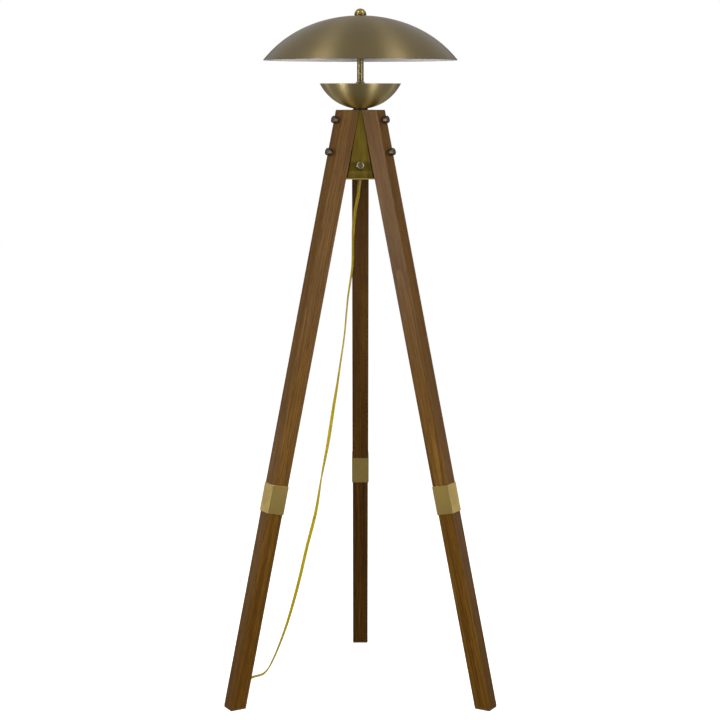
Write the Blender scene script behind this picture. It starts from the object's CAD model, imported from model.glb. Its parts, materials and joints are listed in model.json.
import json
import math

import bmesh
import bpy
import numpy as np
from mathutils import Matrix, Vector


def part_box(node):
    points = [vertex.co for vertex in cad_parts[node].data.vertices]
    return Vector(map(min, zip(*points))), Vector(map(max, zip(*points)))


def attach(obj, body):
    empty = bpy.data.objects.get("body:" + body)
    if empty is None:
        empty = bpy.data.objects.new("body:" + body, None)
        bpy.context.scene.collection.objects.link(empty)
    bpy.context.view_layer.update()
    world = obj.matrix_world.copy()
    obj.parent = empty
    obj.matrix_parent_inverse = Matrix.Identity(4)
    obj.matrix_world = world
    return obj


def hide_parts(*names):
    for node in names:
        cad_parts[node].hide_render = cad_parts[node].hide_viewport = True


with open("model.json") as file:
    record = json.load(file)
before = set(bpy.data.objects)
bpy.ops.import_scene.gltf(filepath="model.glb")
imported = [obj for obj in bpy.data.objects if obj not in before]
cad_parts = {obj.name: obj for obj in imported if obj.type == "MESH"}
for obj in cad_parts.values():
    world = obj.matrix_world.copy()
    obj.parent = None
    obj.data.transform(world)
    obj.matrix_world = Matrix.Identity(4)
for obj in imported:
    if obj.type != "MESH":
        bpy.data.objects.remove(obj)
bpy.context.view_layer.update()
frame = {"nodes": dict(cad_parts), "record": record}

MM = 0.001
NODES = frame["nodes"]


def middle(node):
    low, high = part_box(node)
    return (Vector(low) + Vector(high)) / 2


AXIS = Vector((0.0, middle("centre_rod").y, 0.0))
AY = AXIS.y / MM  # the lamp axis in mm

# ------------------------------------------------------------------ camera
camera = bpy.data.objects.new("camera", bpy.data.cameras.new("camera"))
bpy.context.scene.collection.objects.link(camera)
camera.data.sensor_width = 36.0
camera.data.lens = 87.784
camera.data.clip_end = 60.0
camera.location = (-0.00079, AXIS.y - 3.7392, 1.30026)
camera.rotation_euler = (math.radians(90 - 8.7341), 0.0, 0.0)
bpy.context.scene.camera = camera
bpy.context.scene.view_settings.view_transform = "Standard"
bpy.context.scene.view_settings.look = "None"

PIECES = bpy.data.collections.new("pieces")
bpy.context.scene.collection.children.link(PIECES)


# ------------------------------------------------------------------ node helpers
class Nodes:
    """A small helper that adds nodes to one material and links them."""

    def __init__(self, material):
        material.use_nodes = True
        self.tree = material.node_tree
        self.shader = self.tree.nodes["Principled BSDF"]

    def add(self, kind, links=(), **settings):
        node = self.tree.nodes.new(kind)
        for key, value in settings.items():
            setattr(node, key, value)
        for socket, value in dict(links).items():
            if isinstance(value, bpy.types.NodeSocket):
                self.tree.links.new(value, node.inputs[socket])
            else:
                node.inputs[socket].default_value = value
        return node

    def math(self, operation, a, b=0.0, clamp=False):
        return self.add("ShaderNodeMath", {0: a, 1: b}, operation=operation, use_clamp=clamp).outputs[0]

    def vector(self, operation, a, b=None, scale=None):
        links = {0: a}
        if b is not None:
            links[1] = b
        if scale is not None:
            links["Scale"] = scale
        return self.add("ShaderNodeVectorMath", links, operation=operation).outputs[0]

    def noise(self, vector, scale, detail=2.0, roughness=0.5, distortion=0.0):
        links = {"Vector": vector, "Scale": scale, "Detail": detail, "Roughness": roughness, "Distortion": distortion}
        return self.add("ShaderNodeTexNoise", links).outputs["Fac"]

    def ramp(self, fac, stops, interpolation="LINEAR"):
        node = self.add("ShaderNodeValToRGB", {"Fac": fac})
        node.color_ramp.interpolation = interpolation
        elements = node.color_ramp.elements
        while len(elements) < len(stops):
            elements.new(0.5)
        for element, (position, colour) in zip(elements, stops):
            element.position = position
            element.color = (*colour, 1.0) if len(colour) == 3 else colour
        return node.outputs["Color"]

    def mix(self, fac, a, b, blend="MIX"):
        node = self.add("ShaderNodeMix", (), data_type="RGBA", blend_type=blend)
        for socket, value in ((node.inputs[0], fac), (node.inputs[6], a), (node.inputs[7], b)):
            if isinstance(value, bpy.types.NodeSocket):
                self.tree.links.new(value, socket)
            elif isinstance(value, (int, float)):
                socket.default_value = value
            else:
                socket.default_value = (*value, 1.0) if len(value) == 3 else value
        return node.outputs[2]

    def spread(self, fac, low, high):
        """fac, around 0.5, carried onto low to high."""
        return self.add("ShaderNodeMapRange", {0: fac, 1: 0.3, 2: 0.7, 3: low, 4: high}).outputs[0]

    def bump(self, height, strength, distance, normal=None):
        links = {"Height": height, "Strength": strength, "Distance": distance}
        if normal is not None:
            links["Normal"] = normal
        return self.add("ShaderNodeBump", links).outputs["Normal"]

    def set(self, **values):
        for key, value in values.items():
            socket = self.shader.inputs[key.replace("_", " ")]
            if isinstance(value, bpy.types.NodeSocket):
                self.tree.links.new(value, socket)
            elif isinstance(value, (tuple, list)) and len(value) == 3 and socket.type == "RGBA":
                socket.default_value = (*value, 1.0)
            else:
                socket.default_value = value


def new_material(name, colour):
    material = bpy.data.materials.new(name)
    material.diffuse_color = (*colour, 1.0)
    return material, Nodes(material)


# ------------------------------------------------------------------ materials
def turned_metal(name, colour, roughness, anisotropy=0.6, streak=0.10, patina=0.12, mottle=None):
    """Metal brushed round its own Z axis, with the soft cloudiness of an antiqued finish."""
    material, n = new_material(name, colour)
    coords = n.add("ShaderNodeTexCoord")
    flat = n.vector("MULTIPLY", coords.outputs["Object"], (1.0, 1.0, 0.0))
    around = n.vector("SCALE", n.vector("NORMALIZE", flat), scale=1.5)
    along = n.add("ShaderNodeSeparateXYZ", {0: coords.outputs["UV"]}).outputs[1]
    lane = n.add("ShaderNodeCombineXYZ", {2: n.math("MULTIPLY", along, 2200.0)}).outputs[0]
    brush = n.noise(n.vector("ADD", around, lane), 1.0, 3.0, 0.7)
    fine = n.noise(n.vector("ADD", n.vector("SCALE", around, scale=4.0), n.vector("SCALE", lane, scale=3.0)), 1.0, 2.0, 0.6)
    cloud = n.noise(coords.outputs["Object"], 18.0, 4.0, 0.55, 0.4)
    dark = tuple(c * (1 - streak) for c in colour)
    light = tuple(min(1.0, c * (1 + streak)) for c in colour)
    base = n.ramp(brush, [(0.30, dark), (0.70, light)])
    aged = mottle or (colour[0] * 0.72, colour[1] * 0.66, colour[2] * 0.52)
    base = n.mix(n.spread(cloud, 0.0, patina * 2), base, aged)
    n.set(
        Base_Color=base,
        Metallic=1.0,
        Roughness=n.add("ShaderNodeMapRange", {0: brush, 1: 0.3, 2: 0.7, 3: roughness - 0.03, 4: roughness + 0.05}).outputs[0],
        Anisotropic=anisotropy,
        Anisotropic_Rotation=0.25,
        Normal=n.bump(fine, 0.05, 0.00003),
    )
    tangent = n.add("ShaderNodeTangent", direction_type="RADIAL", axis="Z")
    n.tree.links.new(tangent.outputs[0], n.shader.inputs["Tangent"])
    return material


def flat_metal(name, colour, roughness, streak=0.08, patina=0.2, axis=2, grain=900.0, aged=None):
    """Metal brushed in straight lines along one of the piece's own axes."""
    material, n = new_material(name, colour)
    coords = n.add("ShaderNodeTexCoord").outputs["Object"]
    stretch = [grain, grain, grain]
    stretch[axis] = grain * 0.03
    brush = n.noise(n.vector("MULTIPLY", coords, tuple(stretch)), 1.0, 3.0, 0.65)
    cloud = n.noise(coords, 38.0, 4.0, 0.6, 0.6)
    dark = tuple(c * (1 - streak) for c in colour)
    light = tuple(min(1.0, c * (1 + streak)) for c in colour)
    base = n.ramp(brush, [(0.30, dark), (0.70, light)])
    base = n.mix(n.spread(cloud, 0.0, patina), base, aged or tuple(c * k for c, k in zip(colour, (0.7, 0.62, 0.45))))
    n.set(
        Base_Color=base,
        Metallic=1.0,
        Roughness=n.add("ShaderNodeMapRange", {0: cloud, 1: 0.3, 2: 0.7, 3: roughness - 0.04, 4: roughness + 0.06}).outputs[0],
        Normal=n.bump(brush, 0.06, 0.00004),
    )
    return material


def wood(name, seed, tone=(1.0, 1.0, 1.0)):
    """Walnut-stained wood under satin lacquer. The grain runs along the piece's own Z axis."""
    material, n = new_material(name, (0.14, 0.07, 0.025))
    coords = n.add("ShaderNodeTexCoord").outputs["Object"]
    moved = n.vector("ADD", coords, (0.031 * seed, 0.017 * seed, 0.71 * seed))
    wander = n.noise(n.vector("MULTIPLY", moved, (9.0, 9.0, 1.6)), 1.0, 3.0, 0.5)
    centre = n.vector("ADD", coords, (0.034 + 0.006 * math.sin(seed * 2.1), 0.041 * math.cos(seed * 1.3), 0.0))
    bent = n.vector("ADD", centre, n.add("ShaderNodeCombineXYZ", {0: n.math("MULTIPLY", wander, 0.020), 1: n.math("MULTIPLY", wander, -0.013)}).outputs[0])
    rings = n.add(
        "ShaderNodeTexWave",
        {"Vector": n.vector("MULTIPLY", bent, (1.0, 1.0, 0.02)), "Scale": 78.0, "Distortion": 1.6, "Detail": 2.0, "Detail Scale": 1.2},
        wave_type="RINGS", rings_direction="Z", wave_profile="SAW",
    ).outputs["Fac"]
    fibre = n.noise(n.vector("MULTIPLY", moved, (430.0, 430.0, 26.0)), 1.0, 4.0, 0.66)
    streak = n.noise(n.vector("MULTIPLY", moved, (120.0, 120.0, 2.4)), 1.0, 3.0, 0.55)
    pores = n.noise(n.vector("MULTIPLY", moved, (900.0, 900.0, 46.0)), 1.0, 2.0, 0.5)
    tint = n.noise(n.vector("MULTIPLY", moved, (14.0, 14.0, 3.0)), 1.0, 2.0, 0.5)
    figure = n.math("ADD", n.math("MULTIPLY", rings, 0.15), n.math("ADD", n.math("MULTIPLY", fibre, 0.41), n.math("MULTIPLY", streak, 0.44)))
    shades = [(0.32, (0.046, 0.0215, 0.0052)), (0.44, (0.094, 0.0470, 0.0135)), (0.54, (0.138, 0.0735, 0.0235)), (0.68, (0.215, 0.1210, 0.0440))]
    base = n.ramp(figure, [(at, tuple(c * t for c, t in zip(colour, tone))) for at, colour in shades])
    base = n.mix(n.spread(tint, 0.0, 0.40), base, tuple(c * t for c, t in zip((0.088, 0.042, 0.010), tone)))
    pits = n.ramp(pores, [(0.60, (0, 0, 0)), (0.70, (1, 1, 1))])
    base = n.mix(n.math("MULTIPLY", pits, 0.62), base, (0.026, 0.012, 0.004))
    height = n.math("SUBTRACT", n.math("MULTIPLY", fibre, 0.5), n.math("MULTIPLY", pits, 0.8))
    n.set(
        Base_Color=base,
        Roughness=n.spread(streak, 0.38, 0.48),
        Specular_IOR_Level=0.13,
        Normal=n.bump(height, 0.12, 0.0002),
    )
    return material


def plastic(name, colour, roughness, bump=0.04, scale=900.0, coat=0.0, vary=0.15, **extra):
    material, n = new_material(name, colour)
    coords = n.add("ShaderNodeTexCoord").outputs["Object"]
    speck = n.noise(coords, scale, 3.0, 0.6)
    cloud = n.noise(coords, scale / 14.0, 3.0, 0.5)
    base = n.mix(n.spread(cloud, 0.0, 1.0), tuple(c * (1 - vary) for c in colour), tuple(min(1.0, c * (1 + vary)) for c in colour))
    n.set(
        Base_Color=base,
        Roughness=n.spread(speck, max(0.02, roughness - 0.05), roughness + 0.05),
        Coat_Weight=coat,
        Normal=n.bump(speck, bump, 0.0001),
        **extra,
    )
    return material


BRASS_BASE = (0.19, 0.148, 0.072)
SHADE_OUT = turned_metal("shade_brass", BRASS_BASE, 0.40, 0.78, 0.07, 0.10)
BOWL_OUT = turned_metal("bowl_brass", (0.48, 0.380, 0.180), 0.37, 0.80, 0.09, 0.14)
ROD_BRASS = turned_metal("rod_brass", (0.285, 0.230, 0.118), 0.17, 0.55, 0.05, 0.10)
_n = Nodes(BOWL_OUT)
_rise = _n.add("ShaderNodeMapRange", {0: _n.add("ShaderNodeSeparateXYZ", {0: _n.add("ShaderNodeTexCoord").outputs["Object"]}).outputs[2], 1: 1.262, 2: 1.300}).outputs[0]
_n.set(Base_Color=_n.mix(1.0, _n.shader.inputs["Base Color"].links[0].from_socket, _n.ramp(_rise, [(0.0, (1.20, 1.10, 0.60)), (0.55, (1.12, 1.06, 0.84)), (1.0, (1.0, 1.0, 1.0))]), "MULTIPLY"))
FINIAL_BRASS = turned_metal("finial_brass", (0.30, 0.23, 0.078), 0.19, 0.25, 0.05, 0.14)
TRIM_BRASS = turned_metal("trim_brass", (0.42, 0.33, 0.16), 0.30, 0.4, 0.06, 0.14)
HUB_BRASS = flat_metal("hub_brass", (0.226, 0.161, 0.0245), 0.36, 0.10, 0.35, 2, 700.0)
_n = Nodes(HUB_BRASS)
_height = _n.add("ShaderNodeSeparateXYZ", {0: _n.add("ShaderNodeTexCoord").outputs["Object"]}).outputs[2]
_band = _n.ramp(_n.add("ShaderNodeMapRange", {0: _height, 1: 1.115, 2: 1.165}).outputs[0], [(0.0, (0.85,) * 3), (0.16, (0.72,) * 3), (0.31, (1.0,) * 3), (0.38, (0.62,) * 3), (0.66, (0.60,) * 3), (0.80, (0.96,) * 3)])
_socket = _n.shader.inputs["Base Color"]
_where = _n.vector("SUBTRACT", _n.add("ShaderNodeTexCoord").outputs["Object"], tuple(AXIS))
_facing = _n.add("ShaderNodeTexCoord").outputs["Normal"]
_down = _n.add("ShaderNodeMapRange", {0: _height, 1: 1.1085, 2: 1.2575, 3: 1.0, 4: 0.0}, clamp=False).outputs[0]
_edge = _n.math("ADD", _n.math("MULTIPLY", _down, 0.0272 - 0.0016), 0.0030 - 0.0009)
_grime = None
for _turn in (0.0, 120.0, 240.0):
    _a = math.radians(_turn)
    _u = _n.math("ABSOLUTE", _n.add("ShaderNodeVectorMath", {0: _where, 1: (math.cos(_a), math.sin(_a), 0.0)}, operation="DOT_PRODUCT").outputs["Value"])
    _on = _n.math("GREATER_THAN", _n.add("ShaderNodeVectorMath", {0: _facing, 1: (math.sin(_a), -math.cos(_a), 0.0)}, operation="DOT_PRODUCT").outputs["Value"], 0.8)
    _dark = _n.math("MULTIPLY", _on, _n.add("ShaderNodeMapRange", {0: _n.math("SUBTRACT", _u, _edge), 1: -0.0006, 2: 0.0008, 3: 0.0, 4: 1.0}).outputs[0])
    _grime = _dark if _grime is None else _n.math("MAXIMUM", _grime, _dark)
_stripes = _n.ramp(_n.noise(_n.vector("MULTIPLY", _where, (95.0, 95.0, 3.0)), 1.0, 3.0, 0.6), [(0.36, (0.80, 0.80, 0.76)), (0.64, (1.20, 1.20, 1.30))])
_face = _n.mix(1.0, _n.mix(1.0, _socket.links[0].from_socket, _band, "MULTIPLY"), _stripes, "MULTIPLY")
_n.set(Base_Color=_n.mix(_grime, _face, (0.040, 0.030, 0.012)))
PLATE_BRASS = flat_metal("plate_brass", (0.58, 0.46, 0.16), 0.34, 0.07, 0.30, 0, 700.0)
FERRULE_BRASS = flat_metal("ferrule_brass", (0.585, 0.425, 0.132), 0.36, 0.07, 0.30, 2, 800.0)
BRONZE = turned_metal("dark_bronze", (0.140, 0.112, 0.082), 0.48, 0.0, 0.12, 0.3)
KNOB_METAL = turned_metal("knob_metal", (0.36, 0.31, 0.18), 0.32, 0.0, 0.08, 0.15)
KNOB_FACE = turned_metal("knob_face", (0.125, 0.105, 0.078), 0.46, 0.0, 0.10, 0.2)
STEEL = turned_metal("zinc_steel", (0.55, 0.55, 0.52), 0.34, 0.3, 0.08, 0.2)
STEEL_FLAT = flat_metal("zinc_steel_flat", (0.55, 0.55, 0.52), 0.36, 0.06, 0.3, 0, 900.0, (0.38, 0.37, 0.33))
BLADE_BRASS = flat_metal("blade_brass", (0.72, 0.55, 0.24), 0.25, 0.05, 0.1, 1, 1200.0)
ENAMEL = plastic("white_enamel", (0.80, 0.79, 0.785), 0.42, 0.03, 1500.0, 0.1, 0.02)
CERAMIC = plastic("glazed_ceramic", (0.72, 0.70, 0.64), 0.22, 0.03, 600.0, 0.3, 0.05)
DARK_PLASTIC = plastic("dark_moulded_plastic", (0.028, 0.018, 0.012), 0.38, 0.08, 1800.0)
INSULATION = plastic("black_insulation", (0.018, 0.018, 0.018), 0.45, 0.05, 1500.0)
RELIEF_PVC = plastic("gold_relief_pvc", (0.25, 0.185, 0.003), 0.34, 0.03, 1200.0, 0.05, 0.08, Subsurface_Weight=0.15, Subsurface_Radius=(0.002, 0.0015, 0.0003))
UP, LOW = (1.06, 0.94, 0.50), (0.92, 0.77, 0.21)
REAR_UP, REAR_LOW = (0.50, 0.39, 0.055), (0.49, 0.37, 0.06)
WOODS = {
    "rear": (wood("walnut_rear_upper", 1.0, REAR_UP), wood("walnut_rear_lower", 2.3, REAR_LOW)),
    "left": (wood("walnut_left_upper", 3.1, UP), wood("walnut_left_lower", 4.7, LOW)),
    "right": (wood("walnut_right_upper", 5.9, (0.98, 0.86, 0.40)), wood("walnut_right_lower", 7.4, LOW)),
}

FELT, _n = new_material("brown_felt", (0.05, 0.03, 0.018))
_coords = _n.add("ShaderNodeTexCoord").outputs["Object"]
_fuzz = _n.noise(_coords, 2600.0, 4.0, 0.7, 1.5)
_n.set(
    Base_Color=_n.ramp(_fuzz, [(0.3, (0.060, 0.032, 0.011)), (0.7, (0.125, 0.070, 0.026))]),
    Roughness=0.95, Sheen_Weight=0.15, Sheen_Roughness=0.6, Normal=_n.bump(_fuzz, 0.6, 0.0003),
)

BULB_GLASS, _n = new_material("frosted_glass", (0.92, 0.91, 0.88))
_coords = _n.add("ShaderNodeTexCoord").outputs["Object"]
_frost = _n.noise(_coords, 3000.0, 2.0, 0.6)
_n.set(
    Base_Color=_n.ramp(_frost, [(0.3, (0.88, 0.88, 0.86)), (0.7, (0.97, 0.96, 0.93))]),
    Roughness=_n.spread(_frost, 0.28, 0.42), Transmission_Weight=0.55, IOR=1.46, Normal=_n.bump(_frost, 0.08, 0.00005),
)

# the cord's clear gold jacket, with the two stranded conductors showing through: U runs round the section, V along it
CORD_PVC, _n = new_material("gold_cord_pvc", (0.5, 0.37, 0.01))
_uv = _n.add("ShaderNodeTexCoord").outputs["UV"]
_parts = _n.add("ShaderNodeSeparateXYZ", {0: _uv})
_strand = _n.add("ShaderNodeTexWave", {"Vector": _n.add("ShaderNodeCombineXYZ", {0: _n.math("ADD", _n.math("MULTIPLY", _parts.outputs[1], 95.0), _n.math("MULTIPLY", _parts.outputs[0], 1.2))}).outputs[0], "Scale": 1.0}, wave_type="BANDS", bands_direction="X").outputs["Fac"]
_cloud = _n.noise(_n.vector("MULTIPLY", _uv, (3.0, 55.0, 1.0)), 1.0, 2.0, 0.5)
_gold = _n.mix(_n.math("MULTIPLY", _strand, 0.30), (0.43, 0.320, 0.0004), (0.350, 0.250, 0.0005))
_under = _n.add("ShaderNodeMapRange", {0: _n.add("ShaderNodeSeparateXYZ", {0: _n.add("ShaderNodeTexCoord").outputs["Object"]}).outputs[2], 1: 0.84, 2: 1.02}).outputs[0]
_gold = _n.mix(1.0, _gold, _n.ramp(_under, [(0.0, (1.0, 1.0, 1.0)), (1.0, (0.50, 0.46, 0.50))]), "MULTIPLY")
_n.set(
    Base_Color=_n.mix(_n.spread(_cloud, 0.0, 0.20), _gold, (0.40, 0.300, 0.001)),
    Roughness=0.32, Coat_Weight=0.02, Coat_Roughness=0.15, Specular_IOR_Level=0.16, Subsurface_Weight=0.08,
    Subsurface_Radius=(0.0015, 0.0011, 0.0002), Normal=_n.bump(_strand, 0.05, 0.00005),
)


# ------------------------------------------------------------------ mesh helpers
def add_object(name, mesh, materials, body="stand", matrix=None, replaces=(), slot=None, sharp=32.0, flat=False):
    obj = bpy.data.objects.new(name, mesh)
    PIECES.objects.link(obj)
    for material in materials:
        mesh.materials.append(material)
    if matrix is not None:
        obj.matrix_world = matrix
    mesh.shade_smooth()
    if sharp:
        mesh.set_sharp_from_angle(angle=math.radians(sharp))
    if flat:
        weighted = obj.modifiers.new("flat_faces", "WEIGHTED_NORMAL")
        weighted.keep_sharp, weighted.weight = True, 100
    bpy.context.view_layer.update()
    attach(obj, body)
    if replaces:
        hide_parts(*replaces)
    return obj


def at_axis(z=0.0):
    return Matrix.Translation(AXIS + Vector((0, 0, z * MM)))


def arc(cr, cz, radius, start, end, count):
    """Points on an arc in a turned profile, from start to end degrees (0 points outwards, 90 up)."""
    return [
        (cr + radius * math.cos(math.radians(start + (end - start) * k / count)), cz + radius * math.sin(math.radians(start + (end - start) * k / count)))
        for k in range(count + 1)
    ]


def lathe_mesh(name, profile, segments=96, closed=False, bands=(), ripple=None):
    """A turned mesh with V along the profile in metres. bands gives (first row, last row, material index), and
    ripple(row, angle) a radius factor."""
    profile = [p for k, p in enumerate(profile) if k == 0 or math.dist(p, profile[k - 1]) > 1e-4]
    bm = bmesh.new()
    layer = bm.loops.layers.uv.new("UVMap")
    rings = []
    for row, (r, z) in enumerate(profile):
        if r < 1e-6:
            rings.append([bm.verts.new((0, 0, z * MM))])
        else:
            ring = []
            for k in range(segments):
                angle = 2 * math.pi * k / segments
                rr = r * MM * (ripple(row, angle) if ripple else 1.0)
                ring.append(bm.verts.new((rr * math.cos(angle), rr * math.sin(angle), z * MM)))
            rings.append(ring)
    lengths = [0.0]
    for a, b in zip(profile, profile[1:]):
        lengths.append(lengths[-1] + math.dist(a, b) * MM)
    pairs = [(i, i + 1) for i in range(len(profile) - 1)]
    if closed:
        pairs.append((len(profile) - 1, 0))
    for i, j in pairs:
        a, b = rings[i], rings[j]
        index = next((m for first, last, m in bands if first <= i < last), 0)
        for k in range(segments):
            q = (k + 1) % segments
            if len(a) == 1 and len(b) == 1:
                continue
            if len(a) == 1:
                corners, vs = (a[0], b[q], b[k]), (lengths[i], lengths[j], lengths[j])
            elif len(b) == 1:
                corners, vs = (a[k], a[q], b[0]), (lengths[i], lengths[i], lengths[j])
            else:
                corners, vs = (a[k], a[q], b[q], b[k]), (lengths[i], lengths[i], lengths[j], lengths[j])
            face = bm.faces.new(corners)
            face.material_index = index
            for loop, v in zip(face.loops, vs):
                loop[layer].uv = (k / segments, v)
    bmesh.ops.recalc_face_normals(bm, faces=bm.faces)
    mesh = bpy.data.meshes.new(name)
    bm.to_mesh(mesh)
    bm.free()
    return mesh


def lathe(name, profile, materials, segments=96, closed=False, bands=(), ripple=None, **place):
    place.setdefault("matrix", at_axis())
    return add_object(name, lathe_mesh(name, profile, segments, closed, bands, ripple), materials, **place)


def loft_mesh(name, sections, close_ends=True, index=None):
    """A closed skin through sections with equal numbers of points (mm)."""
    bm = bmesh.new()
    rings = [[bm.verts.new(Vector(p) * MM) for p in section] for section in sections]
    count = len(rings[0])
    for i, (a, b) in enumerate(zip(rings, rings[1:])):
        for k in range(count):
            q = (k + 1) % count
            face = bm.faces.new((a[k], a[q], b[q], b[k]))
            if index:
                face.material_index = index(i)
    if close_ends:
        bm.faces.new(list(reversed(rings[0])))
        bm.faces.new(rings[-1])
    else:
        for k in range(count):
            q = (k + 1) % count
            bm.faces.new((rings[-1][k], rings[-1][q], rings[0][q], rings[0][k]))
    bmesh.ops.recalc_face_normals(bm, faces=bm.faces)
    mesh = bpy.data.meshes.new(name)
    bm.to_mesh(mesh)
    bm.free()
    return mesh


def rounded_rectangle(hx, hy, radius, z, count=5):
    """Points round a rectangle with rounded corners, half sizes hx and hy."""
    points = []
    for cx, cy, start in ((hx, hy, 0), (-hx, hy, 90), (-hx, -hy, 180), (hx, -hy, 270)):
        sx, sy = math.copysign(abs(cx) - radius, cx), math.copysign(abs(cy) - radius, cy)
        for k in range(count + 1):
            a = math.radians(start + 90 * k / count)
            points.append((sx + radius * math.cos(a), sy + radius * math.sin(a), z))
    return points


# ------------------------------------------------------------------ cord (route repeated from the CAD, mm from the lamp axis)
CORD_W, CORD_T = 7.0, 3.6
RELIEF_TILT = math.radians(6.0)
RELIEF_TOP = Vector((-1.2, -8.0, 1112.5))
RELIEF_DOWN = Vector((-math.sin(RELIEF_TILT), 0.0, -math.cos(RELIEF_TILT)))
RELIEF_L = 21.0
CORD_START = RELIEF_TOP + RELIEF_DOWN * (RELIEF_L + 0.3)
HANK_X, HANK_Y, HANK_R = -265.8, (-95.0, 30.0), 18.7
HANK_TURNS, LAYER = 3.5, 3.68
FLOOR_Z = CORD_T / 2 + 0.25


def smooth_line(route, spacing):
    """Points about spacing apart on a centripetal Catmull-Rom curve through the route's points."""
    pts = [Vector(p) for p in route]
    pts = [2 * pts[0] - pts[1], *pts, 2 * pts[-1] - pts[-2]]
    fine = []
    for p0, p1, p2, p3 in zip(pts, pts[1:], pts[2:], pts[3:]):
        t0 = 0.0
        t1 = t0 + max((p1 - p0).length, 1e-6) ** 0.5
        t2 = t1 + max((p2 - p1).length, 1e-6) ** 0.5
        t3 = t2 + max((p3 - p2).length, 1e-6) ** 0.5
        for k in range(40):
            t = t1 + (t2 - t1) * k / 40
            a1 = (t1 - t) / (t1 - t0) * p0 + (t - t0) / (t1 - t0) * p1
            a2 = (t2 - t) / (t2 - t1) * p1 + (t - t1) / (t2 - t1) * p2
            a3 = (t3 - t) / (t3 - t2) * p2 + (t - t2) / (t3 - t2) * p3
            b1 = (t2 - t) / (t2 - t0) * a1 + (t - t0) / (t2 - t0) * a2
            b2 = (t3 - t) / (t3 - t1) * a2 + (t - t1) / (t3 - t1) * a3
            fine.append((t2 - t) / (t2 - t1) * b1 + (t - t1) / (t2 - t1) * b2)
    fine.append(pts[-2])
    return resample(np.array(fine), spacing)


def resample(points, spacing):
    steps = np.linalg.norm(np.diff(points, axis=0), axis=1)
    run = np.concatenate([[0.0], np.cumsum(steps)])
    count = max(2, round(run[-1] / spacing))
    want = np.linspace(0.0, run[-1], count + 1)
    return np.stack([np.interp(want, run, points[:, k]) for k in range(3)], axis=1)


def relax(points, first, last, rounds):
    """Evens the bends between two indices by averaging neighbours."""
    points = points.copy()
    for _ in range(rounds):
        points[first:last] = 0.5 * points[first:last] + 0.25 * (points[first - 1:last - 1] + points[first + 1:last + 1])
    return points


CORD_ROUTE = [
    tuple(RELIEF_TOP + RELIEF_DOWN * 12.0), tuple(CORD_START), tuple(CORD_START + RELIEF_DOWN * 14),
    (-9.4, -7.9, 1058.0), (-13.2, -7.7, 1032.0), (-15.3, -7.5, 1004.0), (-16.2, -7.0, 966.0), (-17.2, -6.4, 928.0),
    (-22.0, -5.6, 893.0), (-26.6, -4.9, 862.0), (-30.4, -3.7, 822.0), (-34.2, -2.6, 780.0), (-43.6, -0.4, 715.0), (-50.5, 1.3, 668.0),
    (-58.2, 3.3, 621.0), (-70.2, 7.2, 543.0), (-84.2, 11.5, 469.0), (-97.6, 16.9, 387.0), (-117.4, 22.6, 307.0), (-134.3, 28.4, 233.0),
    (-148.4, 33.0, 178.0), (-164.0, 38.0, 124.0), (-180.0, 43.0, 78.0), (-195.0, 47.0, 41.0), (-208.0, 49.6, 15.5),
    (-218.6, 50.2, 4.4), (-229.6, 47.4, FLOOR_Z), (-239.4, 40.6, FLOOR_Z), (-245.6, 31.0, FLOOR_Z), (-247.1, 20.0, FLOOR_Z), (-247.1, 8.3, FLOOR_Z),
]
HANK_MID, HANK_SPAN = sum(HANK_Y) / 2, (HANK_Y[1] - HANK_Y[0]) / 2
LOOP_Y = HANK_SPAN - 3.2 - HANK_R  # the end loops' centres, from the middle


def hank_side(dy):
    """How far the runs lie from the hank's centre line, dy from its middle."""
    u = min(1.0, abs(dy) / LOOP_Y)
    return 7.0 + (HANK_R - 7.0) * (1 - math.cos(math.pi * u)) / 2


def hank_turn(step=0.8):
    """One turn of the hank, as (x, y) from its centre line: down the right run, round the front, up the left, round the back."""
    rows = np.linspace(LOOP_Y, -LOOP_Y, int(2 * LOOP_Y / step))
    right = [(hank_side(y), y) for y in rows]
    bend = [math.radians(a) for a in np.linspace(0, 180, int(math.pi * HANK_R / step))]
    front = [(HANK_R * math.cos(a), -LOOP_Y - HANK_R * math.sin(a)) for a in bend[1:-1]]
    left = [(-hank_side(y), y) for y in rows[::-1]]
    back = [(-HANK_R * math.cos(a), LOOP_Y + HANK_R * math.sin(a)) for a in bend[1:-1]]
    half = len(right) + len(front) + len(left)
    return right + front + left + back, half


turn, half_turn = hank_turn()
laps = turn * int(HANK_TURNS) + turn[:half_turn]
flat = np.array([(HANK_X + x, HANK_MID + y, 0.0) for x, y in laps])
gone = np.concatenate([[0.0], np.cumsum(np.linalg.norm(np.diff(flat, axis=0), axis=1))])
lap_length = gone[len(turn)]
flat[:, 2] = FLOOR_Z + LAYER * gone / lap_length
TAIL_ROUTE = [tuple(flat[-2]), tuple(flat[-1]), (-284.2, 17.0, 13.0), (-282.6, 25.5, 12.6), (-279.4, 35.5, 11.5), (-276.0, 44.5, 10.0), (-273.2, 51.5, 8.8), (-272.0, 58.0, 8.4), (-272.0, 62.0, 8.4)]
free = smooth_line(CORD_ROUTE, 2.5)
tail = smooth_line(TAIL_ROUTE[1:], 2.5)
free = relax(free, 8, len(free) - 3, 10)
whole = np.concatenate([free[:-1], flat, tail[1:]])
line = resample(whole, 2.6)
line = relax(line, len(free) - 8, len(line) - 2, 2)
line[:, 1] += AY
line_m = line * MM
steps = np.linalg.norm(np.diff(line_m, axis=0), axis=1)
run = np.concatenate([[0.0], np.cumsum(steps)])
tangents = np.gradient(line_m, axis=0)
tangents /= np.linalg.norm(tangents, axis=1)[:, None]

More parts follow.
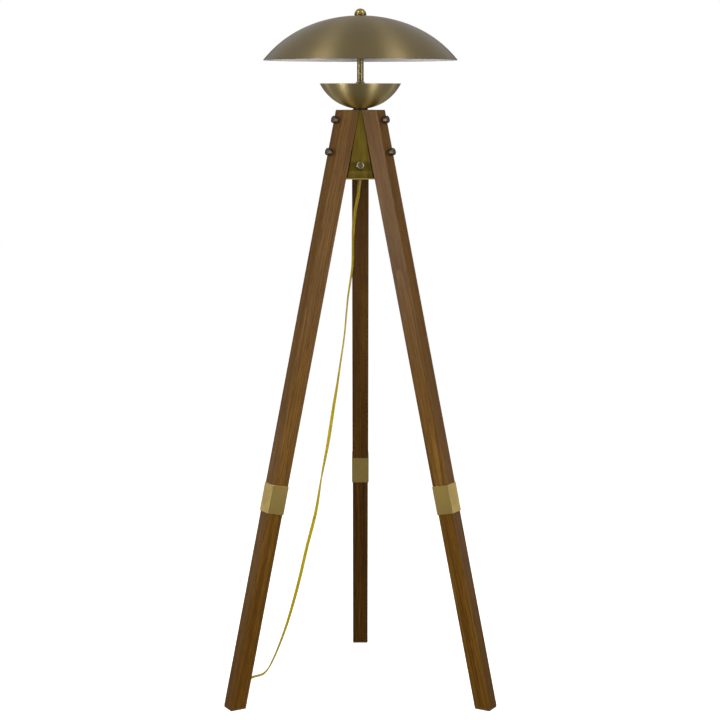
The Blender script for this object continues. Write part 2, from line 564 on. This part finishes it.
# the flat of the cord turns slowly as it hangs, and lies level on the floor
TWIST = [
    (1115, 4), (1040, 4), (1005, 40), (975, 68), (900, 80), (820, 88), (735, 92), (706, 100), (680, 110), (628, 147), (576, 172), (523, 216),
    (470, 262), (415, 308), (361, 350), (308, 360), (270, 367), (200, 372),
]
heights, turns = np.array(TWIST[::-1], float).T
widths = np.zeros_like(line_m)
for k, (p, t) in enumerate(zip(line, tangents)):
    level = np.cross((0.0, 0.0, 1.0), t)
    level /= max(1e-9, np.linalg.norm(level))
    a = math.radians(float(np.interp(p[2], heights, turns)))
    hang = np.array((math.cos(a), math.sin(a), 0.0))
    if level @ hang < 0:
        level = -level
    f = np.clip((p[2] - 14.0) / 236.0, 0.0, 1.0)
    f = f * f * (3 - 2 * f)
    if k > len(free):
        f = 0.0
    w = f * hang + (1 - f) * level
    w -= (w @ t) * t
    w /= np.linalg.norm(w)
    if k and w @ widths[k - 1] < 0:
        w = -w
    widths[k] = w
for _ in range(6):
    widths[1:-1] = 0.5 * widths[1:-1] + 0.25 * (widths[:-2] + widths[2:])
    widths -= np.sum(widths * tangents, axis=1)[:, None] * tangents
    widths /= np.linalg.norm(widths, axis=1)[:, None]


def twin_section(count=10):
    """Outline of the flat twin cord: two round cores joined by a web (mm, width along x)."""
    r, offset = CORD_T / 2, (CORD_W - CORD_T) / 2
    right = [(offset + r * math.cos(a), r * math.sin(a)) for a in np.linspace(-math.radians(128), math.radians(128), count)]
    left = [(-x, y) for x, y in reversed(right)]
    web = r * 0.60
    return right + [(0.0, web)] + left + [(0.0, -web)]


section = twin_section()
bm = bmesh.new()
uv = bm.loops.layers.uv.new("UVMap")
rings = []
for p, w, t in zip(line_m, widths, tangents):
    n = np.cross(t, w)
    rings.append([bm.verts.new(p + w * x * MM + n * y * MM) for x, y in section])
count = len(section)
for i, (a, b) in enumerate(zip(rings, rings[1:])):
    for k in range(count):
        q = (k + 1) % count
        face = bm.faces.new((a[k], a[q], b[q], b[k]))
        for loop, (u, v) in zip(face.loops, ((k, i), (k + 1, i), (k + 1, i + 1), (k, i + 1))):
            loop[uv].uv = (u / count, run[v])
bm.faces.new(list(reversed(rings[0])))
bm.faces.new(rings[-1])
bmesh.ops.recalc_face_normals(bm, faces=bm.faces)
cord_mesh = bpy.data.meshes.new("lamp_cord")
bm.to_mesh(cord_mesh)
bm.free()
lamp_cord = add_object("lamp_cord", cord_mesh, [CORD_PVC], replaces=("power_cord", "cord_tail", "cord_hank"), slot="gold_pvc", sharp=60)

# plug, with finger grips, its blades and a wire tie round the hank
PLUG = Matrix.Translation(Vector((-272.0, 58.0 + AY, 8.4)) * MM) @ Matrix.Rotation(math.radians(-90), 4, "X")
shape = [(0.0, 4.4, 4.0, 2.6), (1.0, 5.0, 4.5, 2.8), (9.0, 5.5, 4.8, 2.8), (12.5, 7.2, 5.4, 3.0), (15.5, 10.6, 7.0, 3.2)]
shape += [(z, 11.9 - (0.9 if k % 2 else 0.0), 7.5, 3.0) for k, z in enumerate((17.5, 19.0, 20.5, 22.0, 23.5, 25.0, 26.5, 28.0))]
shape += [(30.0, 11.9, 7.5, 3.0), (36.8, 11.9, 7.5, 3.0), (37.7, 11.4, 7.0, 2.8), (38.0, 10.4, 6.0, 2.4)]
plug_body = add_object("plug_moulding", loft_mesh("plug_moulding", [rounded_rectangle(hx, hy, r, z) for z, hx, hy, r in shape]), [DARK_PLASTIC], matrix=PLUG, replaces=("plug_body",), slot="dark_plastic", sharp=40, flat=True)
tie_line = []
for k in range(25):
    a = 2 * math.pi * k / 24
    cx, cz = 11.6 * math.copysign(abs(math.cos(a)) ** 0.35, math.cos(a)), 8.5 * math.copysign(abs(math.sin(a)) ** 0.35, math.sin(a))
    tie_line.append((cx, cz))
tie_sections = []
for cx, cz in tie_line[:-1]:
    out = Vector((cx / 11.6**2, 0, cz / 8.5**2)).normalized()
    centre = Vector((HANK_X + cx, HANK_MID + AY, 9.3 + cz))
    tie_sections.append([tuple(centre + Vector((0, y, 0)) + out * o) for y, o in ((-2.6, -0.35), (-0.9, 0.1), (0, 0.4), (0.9, 0.1), (2.6, -0.35), (2.6, -0.6), (0, -0.5), (-2.6, -0.6))])
hank_tie = add_object("cord_twist_tie", loft_mesh("cord_twist_tie", tie_sections, close_ends=False), [INSULATION], replaces=("hank_tie",), slot="insulation")
tie_tails = []
for side in (-1, 1):
    base = Vector((HANK_X + 2 * side, HANK_MID + AY, 18.1))
    tie_tails.append(loft_mesh(f"tie_end_{side}", [
        [tuple(base + Vector((side * s, y * (1 - s / 60), math.sin(s / 4.5) * 0.5 + h))) for y, h in ((-1.9, 0), (0, 0.28), (1.9, 0), (0, -0.22))] for s in np.linspace(0, 8.2, 9)
    ]))
tie_ends = [add_object(f"tie_end_{k}", mesh, [INSULATION], slot="insulation") for k, mesh in enumerate(tie_tails, 1)]
for number in (1, 2):
    blade = NODES[f"plug_blade_{number}"]
    blade.data.materials.clear()
    blade.data.materials.append(BLADE_BRASS)

# ribbed, tapered strain relief under the hub
ribs = [(0.0, 0.0), (4.2, 0.0)]
for k in range(9):
    z = -1.4 - k * 2.05
    r = 4.55 - 0.085 * k
    ribs += [(r, z), (r + 0.02, z - 0.95), (r - 0.75, z - 1.15), (r - 0.75, z - 1.75)]
ribs += [(3.6, -19.9), (3.55, -20.6), (3.2, -21.0), (0.0, -21.0)]
relief_place = Matrix.Translation((RELIEF_TOP + Vector((0, AY, 0))) * MM) @ Matrix.Rotation(RELIEF_TILT, 4, "Y")
lathe("strain_relief", ribs, [RELIEF_PVC], 40, matrix=relief_place, replaces=("cord_strain_relief",), slot="gold_pvc")

# ------------------------------------------------------------------ shade, bowl and what stands between them
SHADE_TOP, SHADE_DEPTH, SHADE_T = 1454.9, 91.9, 1.5
BOWL_Z, BOWL_DEPTH, BOWL_T = 1261.3, 53.0, 1.6


def shade_r(d):
    return math.sqrt(max(0.0, d * (598.0 - 1.793 * d + 0.00233 * d * d)))


def bowl_r(h):
    return math.sqrt(max(0.0, h * (190.0 - 0.98 * h)))


def offset_inwards(points, distance):
    """The profile moved to its left-hand side by distance."""
    out = []
    for k, (r, z) in enumerate(points):
        a = points[max(0, k - 1)]
        b = points[min(len(points) - 1, k + 1)]
        dr, dz = b[0] - a[0], b[1] - a[1]
        size = math.hypot(dr, dz)
        out.append((r + dz / size * distance, z - dr / size * distance))
    return out


outer = [(5.5, SHADE_TOP)] + [(shade_r(d), SHADE_TOP - d) for d in (SHADE_DEPTH * (1 - math.cos(math.pi / 2 * k / 64)) for k in range(3, 65))]
inner = offset_inwards(outer, SHADE_T)
inner[0] = (5.5, SHADE_TOP - SHADE_T)
inner[-1] = (inner[-1][0], outer[-1][1] + 0.1)
lip_r, lip_z = (outer[-1][0] + inner[-1][0]) / 2, outer[-1][1]
rim = [(outer[-1][0] - 0.12, lip_z - 0.30), (lip_r + 0.35, lip_z - 0.55), (lip_r - 0.25, lip_z - 0.55), (inner[-1][0] + 0.10, lip_z - 0.25)]
shade_profile = outer + rim + inner[::-1]
lathe(
    "shade_dome", shade_profile, [SHADE_OUT, ENAMEL], 192, closed=True, replaces=("shade",), slot="shade_brass",
    bands=[(0, len(outer) + 3, 0), (len(outer) + 3, len(shade_profile), 1)],
)

heights_b = [BOWL_DEPTH * (k / 48) ** 2 for k in range(48, 3, -1)]
lathe(
    "bowl_cushion", [(5.4, 1261.0), (9.4, 1261.05), (12.0, 1261.75), (14.6, 1262.25), *arc(15.0, 1261.7, 0.6, 80, 0, 3), (15.6, 1260.2), (15.3, 1259.9), (5.4, 1259.9)],
    [INSULATION], 96, closed=True, replaces=("bowl_washer",), slot="insulation",
)
bowl_outer = [(bowl_r(h), BOWL_Z + h) for h in heights_b] + [(9.0, BOWL_Z + 0.05), (5.4, BOWL_Z)]
bowl_inner = offset_inwards(bowl_outer, BOWL_T)
bowl_inner[0] = (bowl_outer[0][0] - BOWL_T * 1.25, bowl_outer[0][1])
bowl_inner[-1] = (5.4, BOWL_Z + BOWL_T)
lip = [(bowl_inner[0][0] + 0.5, bowl_outer[0][1] + 0.22), (bowl_outer[0][0] - 0.5, bowl_outer[0][1] + 0.22)]
lathe("bowl_dish", bowl_outer + bowl_inner[::-1] + lip, [BOWL_OUT], 160, closed=True, replaces=("bowl",), slot="bowl_brass")

lathe("rod_tube", [(6.6, 1448.6), (7.0, 1448.2), *[(7.0, 1448.2 - k * 12.9) for k in range(1, 10)], (7.0, 1319.1), (6.6, 1318.7), (5.4, 1318.7), (5.4, 1448.6)], [ROD_BRASS], 64, closed=True, replaces=("centre_rod",), slot="trim_brass")
lathe(
    "rod_collar_ring",
    [(8.0, 1318.4), *arc(7.9, 1317.6, 0.8, 90, 0, 4), (8.7, 1316.9), (9.0, 1316.4), *arc(9.8, 1315.8, 0.6, 80, -80, 5), (9.6, 1315.2), (5.3, 1315.2), (5.3, 1318.4)],
    [TRIM_BRASS], 64, closed=True, replaces=("rod_collar",), slot="trim_brass",
)
lathe(
    "seat_disc",
    [(9.0, 1452.6), (19.2, 1452.1), *arc(19.4, 1451.5, 0.55, 80, -70, 5), (19.0, 1450.4), (9.4, 1449.0), (9.0, 1448.9), (5.4, 1448.9), (5.4, 1452.6)],
    [TRIM_BRASS], 64, closed=True, replaces=("shade_seat",), slot="trim_brass",
)
stem = lathe_mesh(
    "cluster_stem",
    [(12.4, 1314.9), *arc(13.9, 1312.2, 2.6, 88, 0, 6), (16.5, 1299.0), *arc(15.2, 1298.2, 1.3, 0, -70, 4), (9.9, 1294.9), (9.2, 1293.6), (9.0, 1292.0),
     (9.0, 1273.0), (9.4, 1272.4), (10.6, 1271.9), (11.0, 1271.4), (11.0, 1270.3), (10.7, 1270.0), (5.3, 1270.0), (5.3, 1314.9)],
    64, True,
)
add_object("cluster_stem", stem, [TRIM_BRASS], matrix=at_axis(), replaces=("cluster_body",), slot="trim_brass")
FINIAL_R, FINIAL_Z = 12.7, 1455.2
ball = FINIAL_Z + 1.6
lathe(
    "finial_ball",
    [(0, ball + FINIAL_R), *arc(0, ball, FINIAL_R, 88, -3, 30), (12.45, FINIAL_Z + 0.35), (11.9, FINIAL_Z), (5.3, FINIAL_Z), (5.3, FINIAL_Z + 9.5), (0, FINIAL_Z + 9.5)],
    [FINIAL_BRASS], 80, body="finial", replaces=("finial",), slot="trim_brass",
)

# bulbs in their lampholders, and the arms that carry them
BULB_RISE, BULB_START = 25.0, 1273.3
for number, azimuth in enumerate((30.0, 150.0, 270.0), 1):
    place = at_axis(BULB_START) @ Matrix.Rotation(math.radians(azimuth), 4, "Z") @ Matrix.Rotation(math.radians(90 - BULB_RISE), 4, "Y")
    lathe(f"cluster_arm_{number}", [(0, 18.0), (4.6, 18.0), (5.0, 17.6), (5.0, 10.0), (0, 10.0)], [TRIM_BRASS], 40, matrix=place, slot="trim_brass")
    glass = [(0, 65.4), *arc(0, 59.2, 6.2, 88, 0, 10), (6.45, 56.0), (6.5, 50.0), (6.5, 41.0), (6.2, 38.2), (5.3, 36.4), (4.4, 35.6), (0, 35.6)]
    lathe(f"bulb_capsule_{number}", glass, [BULB_GLASS], 48, matrix=place, body=f"bulb_{number}", replaces=(f"bulb_{number}",), slot="bulb_glass")
    pinch = [rounded_rectangle(hx, hy, 1.0, z, 3) for hx, hy, z in ((1.9, 6.0, 25.3), (2.4, 6.6, 25.8), (2.5, 6.7, 33.5), (2.3, 6.2, 36.6), (1.7, 4.6, 38.8), (1.1, 3.2, 39.6))]
    add_object(f"bulb_pinch_{number}", loft_mesh(f"bulb_pinch_{number}", pinch), [CERAMIC], body=f"bulb_{number}", matrix=place, slot="ceramic")

# ------------------------------------------------------------------ switch
front_low, front_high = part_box("switch_nut")
tilt = math.atan(0.5 * 0.2206)
nut_axis = next(joint for joint in frame["record"]["behaviour"]["joints"] if joint["name"] == "switch_turn")
SWITCH = Matrix.Translation(Vector(nut_axis["pos_m"])) @ Matrix.Rotation(math.radians(90) - tilt, 4, "X")
teeth = 36
lathe(
    "switch_ring_nut",
    [(5.3, 2.4), (6.6, 2.4), (7.1, 2.1), (7.4, 1.7), (7.4, 0.7), (7.1, 0.3), (5.3, 0.3)],
    [TRIM_BRASS], 144, closed=True, matrix=SWITCH, replaces=("switch_nut",), slot="trim_brass",
    ripple=lambda row, a: 1.0 - (0.022 * (0.5 + 0.5 * math.cos(teeth * a)) if row in (3, 4) else 0.0),
)
lathe(
    "switch_knob_cap",
    [(0, 9.55), (2.5, 9.58), (4.6, 9.72), (5.6, 10.1), (6.2, 10.65), *arc(7.0, 10.2, 0.95, 130, 0, 7), (8.12, 9.6), (8.2, 8.8), (8.2, 4.4), (8.1, 3.5), (7.6, 2.9), (3.0, 2.9), (3.0, -3.0), (0, -3.0)],
    [KNOB_METAL, KNOB_FACE], 160, matrix=SWITCH, body="switch_knob", bands=[(0, 3, 1)], replaces=("switch_knob",), slot="knob_metal",
    ripple=lambda row, a: 1.0 - (0.020 * (0.5 + 0.5 * math.cos(40 * a)) if row in (14, 15) else 0.0),
)

# ------------------------------------------------------------------ legs, ferrules, bolts and pads
FOOT_R, SLOPE, LEG_W, LOW_W, LEG_TOP, PAD_T, SPLIT = 309.0, 0.2206, 35.6, 34.0, 1259.7, 3.0, 445.0
LEAN = math.atan(SLOPE)
COS = math.cos(LEAN)


def leg_mesh(name, width, z0, z1, cut, keep_below):
    """A square post along Z with eased edges, cut level at height cut on one end."""
    half = width / 2 * MM
    bm = bmesh.new()
    bmesh.ops.create_cube(bm, size=1.0)
    bmesh.ops.scale(bm, vec=(2 * half, 2 * half, (z1 - z0) * MM), verts=bm.verts)
    bmesh.ops.translate(bm, vec=(0, 0, (z0 + z1) / 2 * MM), verts=bm.verts)
    level = Vector((0, math.sin(LEAN), math.cos(LEAN)))
    cut_edges = bmesh.ops.bisect_plane(bm, geom=[*bm.verts, *bm.edges, *bm.faces], plane_co=(0, 0, cut * MM / COS), plane_no=level, clear_outer=keep_below, clear_inner=not keep_below)
    bmesh.ops.edgeloop_fill(bm, edges=[e for e in cut_edges["geom_cut"] if isinstance(e, bmesh.types.BMEdge)])
    bmesh.ops.recalc_face_normals(bm, faces=bm.faces)
    bmesh.ops.bevel(bm, geom=[*bm.edges], offset=0.8 * MM, segments=3, profile=0.5, affect="EDGES", clamp_overlap=True)
    mesh = bpy.data.meshes.new(name)
    bm.to_mesh(mesh)
    bm.free()
    return mesh


def square_ring(half, radius, z, count=5):
    return rounded_rectangle(half, half, radius, z, count)


def ferrule_mesh(name):
    z0, z1 = 415.1 / COS, 475.0 / COS
    out = LEG_W / 2 + 1.3
    bore_up, bore_low = LEG_W / 2 + 0.3, LOW_W / 2 + 0.45
    rows = [
        (bore_low, 0.5, z0 + 26), (bore_low, 0.5, z0), (out - 0.45, 0.6, z0), (out - 0.1, 0.75, z0 + 0.12), (out, 0.8, z0 + 0.5),
        (out, 0.8, z1 - 0.5), (out - 0.1, 0.75, z1 - 0.12), (out - 0.45, 0.6, z1), (bore_up, 0.5, z1), (bore_up, 0.5, z1 - 26),
    ]
    return loft_mesh(name, [square_ring(h, r, z) for h, r, z in rows], close_ends=False)


BOLT_LENGTH = LEG_W + 0.9 + 7.2 / COS + 1.0
bolt_profile = [(0, 13.8), (3.4, 13.75), (4.3, 13.6), (4.8, 13.35), (5.3, 13.35), (5.9, 13.3), *arc(6.05, 11.5, 1.7, 86, 4, 6), (7.75, 10.4), (7.75, 4.0), (7.6, 3.2), (6.9, 2.4), (6.3, 1.9), (6.1, 1.2), (6.5, 0.7), (6.5, 0.0), (4.0, 0.0), (4.0, -BOLT_LENGTH), (0, -BOLT_LENGTH)]


def bolt_ripple(row, a):
    return 1.0 - (0.018 * (0.5 + 0.5 * math.cos(44 * a)) if row in (12, 13) else 0.0)


for side, azimuth in (("rear", 90.0), ("left", 210.0), ("right", 330.0)):
    foot = Vector((math.cos(math.radians(azimuth)), math.sin(math.radians(azimuth)), 0)) * FOOT_R * MM
    place = Matrix.Translation(AXIS + foot) @ Matrix.Rotation(math.radians(azimuth - 90), 4, "Z") @ Matrix.Rotation(LEAN, 4, "X")
    up, low = WOODS[side]
    add_object(f"{side}_leg_upper_post", leg_mesh(f"{side}_leg_upper_post", LEG_W + 0.4, (SPLIT + 0.3) / COS, (LEG_TOP + 30) / COS, LEG_TOP, True), [up], matrix=place, replaces=(f"leg_upper_{side}",), slot="walnut", sharp=50, flat=True)
    add_object(f"{side}_leg_lower_post", leg_mesh(f"{side}_leg_lower_post", LOW_W + 0.7, -30.0, (SPLIT - 0.3) / COS, PAD_T + 0.1, False), [low], matrix=place, replaces=(f"leg_lower_{side}",), slot="walnut", sharp=50, flat=True)
    add_object(f"{side}_leg_ferrule_sleeve", ferrule_mesh(f"{side}_leg_ferrule_sleeve"), [FERRULE_BRASS], matrix=place, replaces=(f"leg_ferrule_{side}",), slot="ferrule_brass", sharp=50, flat=True)
    for where, s in (("upper", 1233.9), ("lower", 1167.2)):
        bolt = place @ Matrix.Translation((0, (LEG_W / 2 + 0.3) * MM, s / COS * MM)) @ Matrix.Rotation(math.radians(-90), 4, "X")
        lathe(f"{side}_{where}_bolt_knob", bolt_profile, [BRONZE], 176, matrix=bolt, replaces=(f"leg_bolt_{side}_{where}",), slot="bronze", ripple=bolt_ripple)
    reach = LOW_W / 2 + 0.1
    pad_place = Matrix.Translation(AXIS + foot - foot.normalized() * SLOPE * PAD_T * MM) @ Matrix.Rotation(math.radians(azimuth - 90), 4, "Z")
    pad = [rounded_rectangle(reach - i, (reach - i) / COS, 0.9, z, 4) for i, z in ((0.25, 0.0), (0.0, 0.25), (0.0, 0.7), (0.0, 2.2), (0.0, 2.75), (0.2, 2.95))]
    add_object(f"{side}_felt_pad", loft_mesh(f"{side}_felt_pad", pad), [FELT], matrix=pad_place, replaces=(f"foot_pad_{side}",), slot="felt", sharp=50, flat=True)

# ------------------------------------------------------------------ finishes of the CAD parts that stay
KEPT = {
    HUB_BRASS: ["hub"],
    PLATE_BRASS: ["hub_bottom_plate"],
    STEEL_FLAT: ["plate_screw_1", "plate_screw_2", "plate_screw_3", "bowl_locknut", "leg_stud_rear", "leg_stud_left", "leg_stud_right", "lamp_pipe"],
    DARK_PLASTIC: ["switch_body", "cord_bushing"],
    CERAMIC: ["lampholder_1", "lampholder_2", "lampholder_3"],
    INSULATION: ["inner_lead_supply", "inner_lead_riser"],
}
for name, size in (("hub", 1.6), ("hub_bottom_plate", 0.6)):
    edges = NODES[name].modifiers.new("eased_edges", "BEVEL")
    edges.width, edges.segments, edges.limit_method = size * MM, 3, "ANGLE"
    edges.angle_limit = math.radians(40)
for material, names in KEPT.items():
    for name in names:
        node = NODES[name]
        node.data.materials.clear()
        node.data.materials.append(material)
        if name in ("lampholder_1", "lampholder_2", "lampholder_3", "lamp_pipe", "inner_lead_supply", "inner_lead_riser", "cord_bushing"):
            node.data.shade_smooth()
            node.data.set_sharp_from_angle(angle=math.radians(35))

# ------------------------------------------------------------------ floor, backdrop and light
floor_mesh = bpy.data.meshes.new("floor")
floor_mesh.from_pydata([(-9, -7, 0), (9, -7, 0), (9, 11, 0), (-9, 11, 0)], [], [(0, 1, 2, 3)])
floor = bpy.data.objects.new("floor", floor_mesh)
bpy.context.scene.collection.objects.link(floor)
floor.location.z = -0.0002
FLOOR, _n = new_material("floor_white", (0.9, 0.9, 0.9))
_coords = _n.add("ShaderNodeTexCoord").outputs["Object"]
_n.set(Base_Color=_n.ramp(_n.noise(_coords, 3.0), [(0.3, (0.88, 0.88, 0.88)), (0.7, (0.90, 0.90, 0.90))]), Roughness=0.9, Emission_Color=(1.0, 1.0, 1.0), Emission_Strength=0.80)
floor_mesh.materials.append(FLOOR)
floor.visible_glossy = False
floor.visible_diffuse = False

world = bpy.data.worlds.new("studio")
bpy.context.scene.world = world
world.use_nodes = True
wt = world.node_tree
wt.nodes.clear()
w_out = wt.nodes.new("ShaderNodeOutputWorld")
w_mix = wt.nodes.new("ShaderNodeMixShader")
w_path = wt.nodes.new("ShaderNodeLightPath")
w_white = wt.nodes.new("ShaderNodeBackground")
w_white.inputs["Color"].default_value = (1, 1, 1, 1)
w_white.inputs["Strength"].default_value = 1.0
w_soft = wt.nodes.new("ShaderNodeBackground")
w_tex = wt.nodes.new("ShaderNodeTexCoord")
w_sep = wt.nodes.new("ShaderNodeSeparateXYZ")
w_ramp = wt.nodes.new("ShaderNodeValToRGB")
w_map = wt.nodes.new("ShaderNodeMapRange")
wt.links.new(w_tex.outputs["Generated"], w_sep.inputs[0])
wt.links.new(w_sep.outputs[2], w_map.inputs[0])
w_map.inputs[1].default_value = -1.0
w_map.inputs[2].default_value = 1.0
wt.links.new(w_map.outputs[0], w_ramp.inputs["Fac"])
w_shine = wt.nodes.new("ShaderNodeValToRGB")
wt.links.new(w_map.outputs[0], w_shine.inputs["Fac"])
for ramp_node, stops in (
    (w_ramp, ((0.0, 0.17), (0.09, 0.18), (0.20, 0.34), (0.37, 0.24), (0.5, 0.17), (1.0, 0.20))),
    (w_shine, ((0.0, 0.17), (0.09, 0.18), (0.20, 0.36), (0.37, 0.24), (0.5, 0.16), (0.57, 0.24), (0.67, 0.76), (1.0, 0.78))),
):
    while len(ramp_node.color_ramp.elements) < len(stops):
        ramp_node.color_ramp.elements.new(0.5)
    for element, (position, value) in zip(ramp_node.color_ramp.elements, stops):
        element.position = position
        element.color = (value, value, value * 1.02, 1.0)
w_pick = wt.nodes.new("ShaderNodeMix")
w_pick.data_type = "RGBA"
wt.links.new(w_path.outputs["Is Glossy Ray"], w_pick.inputs[0])
wt.links.new(w_ramp.outputs["Color"], w_pick.inputs[6])
wt.links.new(w_shine.outputs["Color"], w_pick.inputs[7])
wt.links.new(w_pick.outputs[2], w_soft.inputs["Color"])
wt.links.new(w_path.outputs["Is Camera Ray"], w_mix.inputs[0])
wt.links.new(w_soft.outputs[0], w_mix.inputs[1])
wt.links.new(w_white.outputs[0], w_mix.inputs[2])
wt.links.new(w_mix.outputs[0], w_out.inputs["Surface"])


def soft_box(name, azimuth, elevation, distance, width, height, power, target=(0.0, 0.0, 1.15), glossy=True, diffuse=True):
    """A rectangular soft light. Azimuth 0 is on the camera's side, positive to its right."""
    data = bpy.data.lights.new(name, "AREA")
    data.shape = "RECTANGLE"
    data.size, data.size_y = width, height
    data.energy = power
    light = bpy.data.objects.new(name, data)
    bpy.context.scene.collection.objects.link(light)
    a, e = math.radians(azimuth), math.radians(elevation)
    aim = Vector(target) + AXIS
    light.location = aim + Vector((math.sin(a) * math.cos(e), -math.cos(a) * math.cos(e), math.sin(e))) * distance
    light.rotation_euler = (aim - light.location).to_track_quat("-Z", "Y").to_euler()
    light.visible_glossy = glossy
    light.visible_diffuse = diffuse
    light.visible_camera = False
    return light


soft_box("key_left", -54, 6, 2.6, 0.8, 0.7, 7.0, target=(0, 0, 1.36))
soft_box("key_right", 54, 6, 2.6, 0.8, 0.7, 7.0, target=(0, 0, 1.36))
soft_box("bowl_left", -52, -14, 1.3, 0.24, 0.5, 7.8, target=(0, 0, 1.29), diffuse=False)
soft_box("bowl_right", 38, -14, 1.3, 0.28, 0.5, 7.6, target=(0, 0, 1.29), diffuse=False)
soft_box("high_left", -58, 50, 2.3, 0.62, 0.9, 9.0, target=(0, 0, 1.4))
soft_box("high_right", 58, 50, 2.3, 0.62, 0.9, 9.0, target=(0, 0, 1.4))
soft_box("side_left", -120, 0, 2.5, 0.7, 0.55, 1.5, target=(0, 0, 0.31))
soft_box("side_right", 120, 0, 2.5, 0.7, 0.55, 1.5, target=(0, 0, 0.31))
soft_box("wash_left", -100, 4, 2.6, 0.9, 1.6, 14.0, target=(0, 0, 0.7), glossy=False)
soft_box("wash_right", 100, 4, 2.6, 0.9, 1.6, 15.5, target=(0, 0, 0.7), glossy=False)
soft_box("front_fill", 0, 24, 3.0, 1.6, 1.2, 34.0, glossy=False)
soft_box("low_fill", 0, -32, 2.2, 1.4, 0.7, 26.0, target=(0, 0, 1.38), glossy=False)
